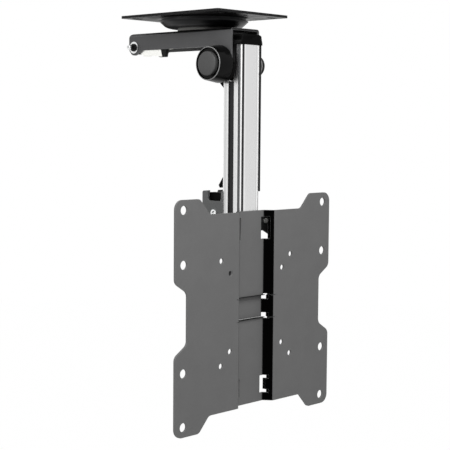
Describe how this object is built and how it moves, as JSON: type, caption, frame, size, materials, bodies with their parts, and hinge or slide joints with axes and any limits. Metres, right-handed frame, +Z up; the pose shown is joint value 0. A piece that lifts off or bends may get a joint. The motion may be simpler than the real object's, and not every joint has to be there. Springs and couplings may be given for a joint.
{
  "type": "ceiling mount for a television",
  "caption": "Folding ceiling mount: dished ceiling plate, swivelling channel arm, fold hinge, aluminium drop column, latch and a television plate.",
  "frame": {"origin": "centre of the ceiling plate's top face, on the swivel axis", "axes": "+Z up to the ceiling, -Y towards the television, +X right as seen from the television side"},
  "size_m": [0.222, 0.162, 0.395],
  "materials": {
    "black_powder_coat": "satin black powder coat with a very fine orange-peel grain",
    "arm_powder_coat": "satin dark grey powder coat",
    "plate_powder_coat": "satin mid grey powder coat",
    "bracket_powder_coat": "satin dark grey powder coat",
    "black_casting": "fine-cast metal, satin black paint",
    "column_aluminium": "satin anodised, drawn along its length",
    "strip_plastic": "extruded, fine lines along its length",
    "cap_plastic": "moulded black, fine texture",
    "disc_plastic": "moulded dark grey, smooth satin",
    "grip_plastic": "moulded black",
    "zinc_steel": "bright zinc plating",
    "spring_steel": "bright drawn wire and strip",
    "swivel_nylon": "light grey, machined",
    "hinge_nylon": "natural off-white",
    "bush_bronze": "sintered bronze"
  },
  "bodies": {
    "ceiling": {"ceiling_plate": "black_powder_coat", "swivel_bolt": "zinc_steel", "swivel_head_washer": "zinc_steel", "swivel_nut": "zinc_steel", "swivel_nut_washer": "zinc_steel"},
    "arm": {"swivel_disc": "swivel_nylon", "swivel_slip_washer": "hinge_nylon", "arm_channel": "arm_powder_coat", "pivot_bolt": "zinc_steel", "pivot_nut": "zinc_steel", "pivot_washers": "zinc_steel", "pivot_disc_springs": "spring_steel", "hinge_washers": "hinge_nylon", "hinge_cap_left": "cap_plastic", "hinge_cap_right": "cap_plastic", "cap_disc_left": "disc_plastic", "cap_disc_right": "disc_plastic", "latch_pivot_screws": "zinc_steel", "latch_washers": "zinc_steel", "latch_spring": "spring_steel"},
    "latch": {"latch_lever": "zinc_steel", "latch_grip": "grip_plastic"},
    "column": {"column_extrusion": "column_aluminium", "groove_strip_left": "strip_plastic", "groove_strip_right": "strip_plastic", "hinge_head": "black_casting", "hinge_bush": "bush_bronze", "head_screws": "zinc_steel", "column_end_plug": "cap_plastic", "catch_hook": "black_casting", "catch_screw": "zinc_steel", "slot_nuts": "zinc_steel", "head_bracket": "bracket_powder_coat", "locating_studs": "zinc_steel", "clamp_block": "black_casting", "clamp_screws": "zinc_steel", "bracket_screws": "zinc_steel", "vesa_plate": "plate_powder_coat"}
  },
  "joints": [
    {"name": "arm_swivel", "type": "hinge", "parent": "ceiling", "child": "arm", "pos_m": [0, 0, 0], "axis": [0, 0, 1], "continuous": true},
    {"name": "column_fold", "type": "hinge", "parent": "arm", "child": "column", "pos_m": [0, -0.0405, -0.049], "axis": [1, 0, 0], "range_deg": [0, 90]},
    {"name": "latch_release", "type": "hinge", "parent": "arm", "child": "latch", "pos_m": [0, 0.08, -0.0292], "axis": [1, 0, 0], "range_deg": [0, 18], "stiffness_Nm_per_rad": 0.15, "springref_deg": -20.05, "deforming": ["latch_spring"]}
  ]
}
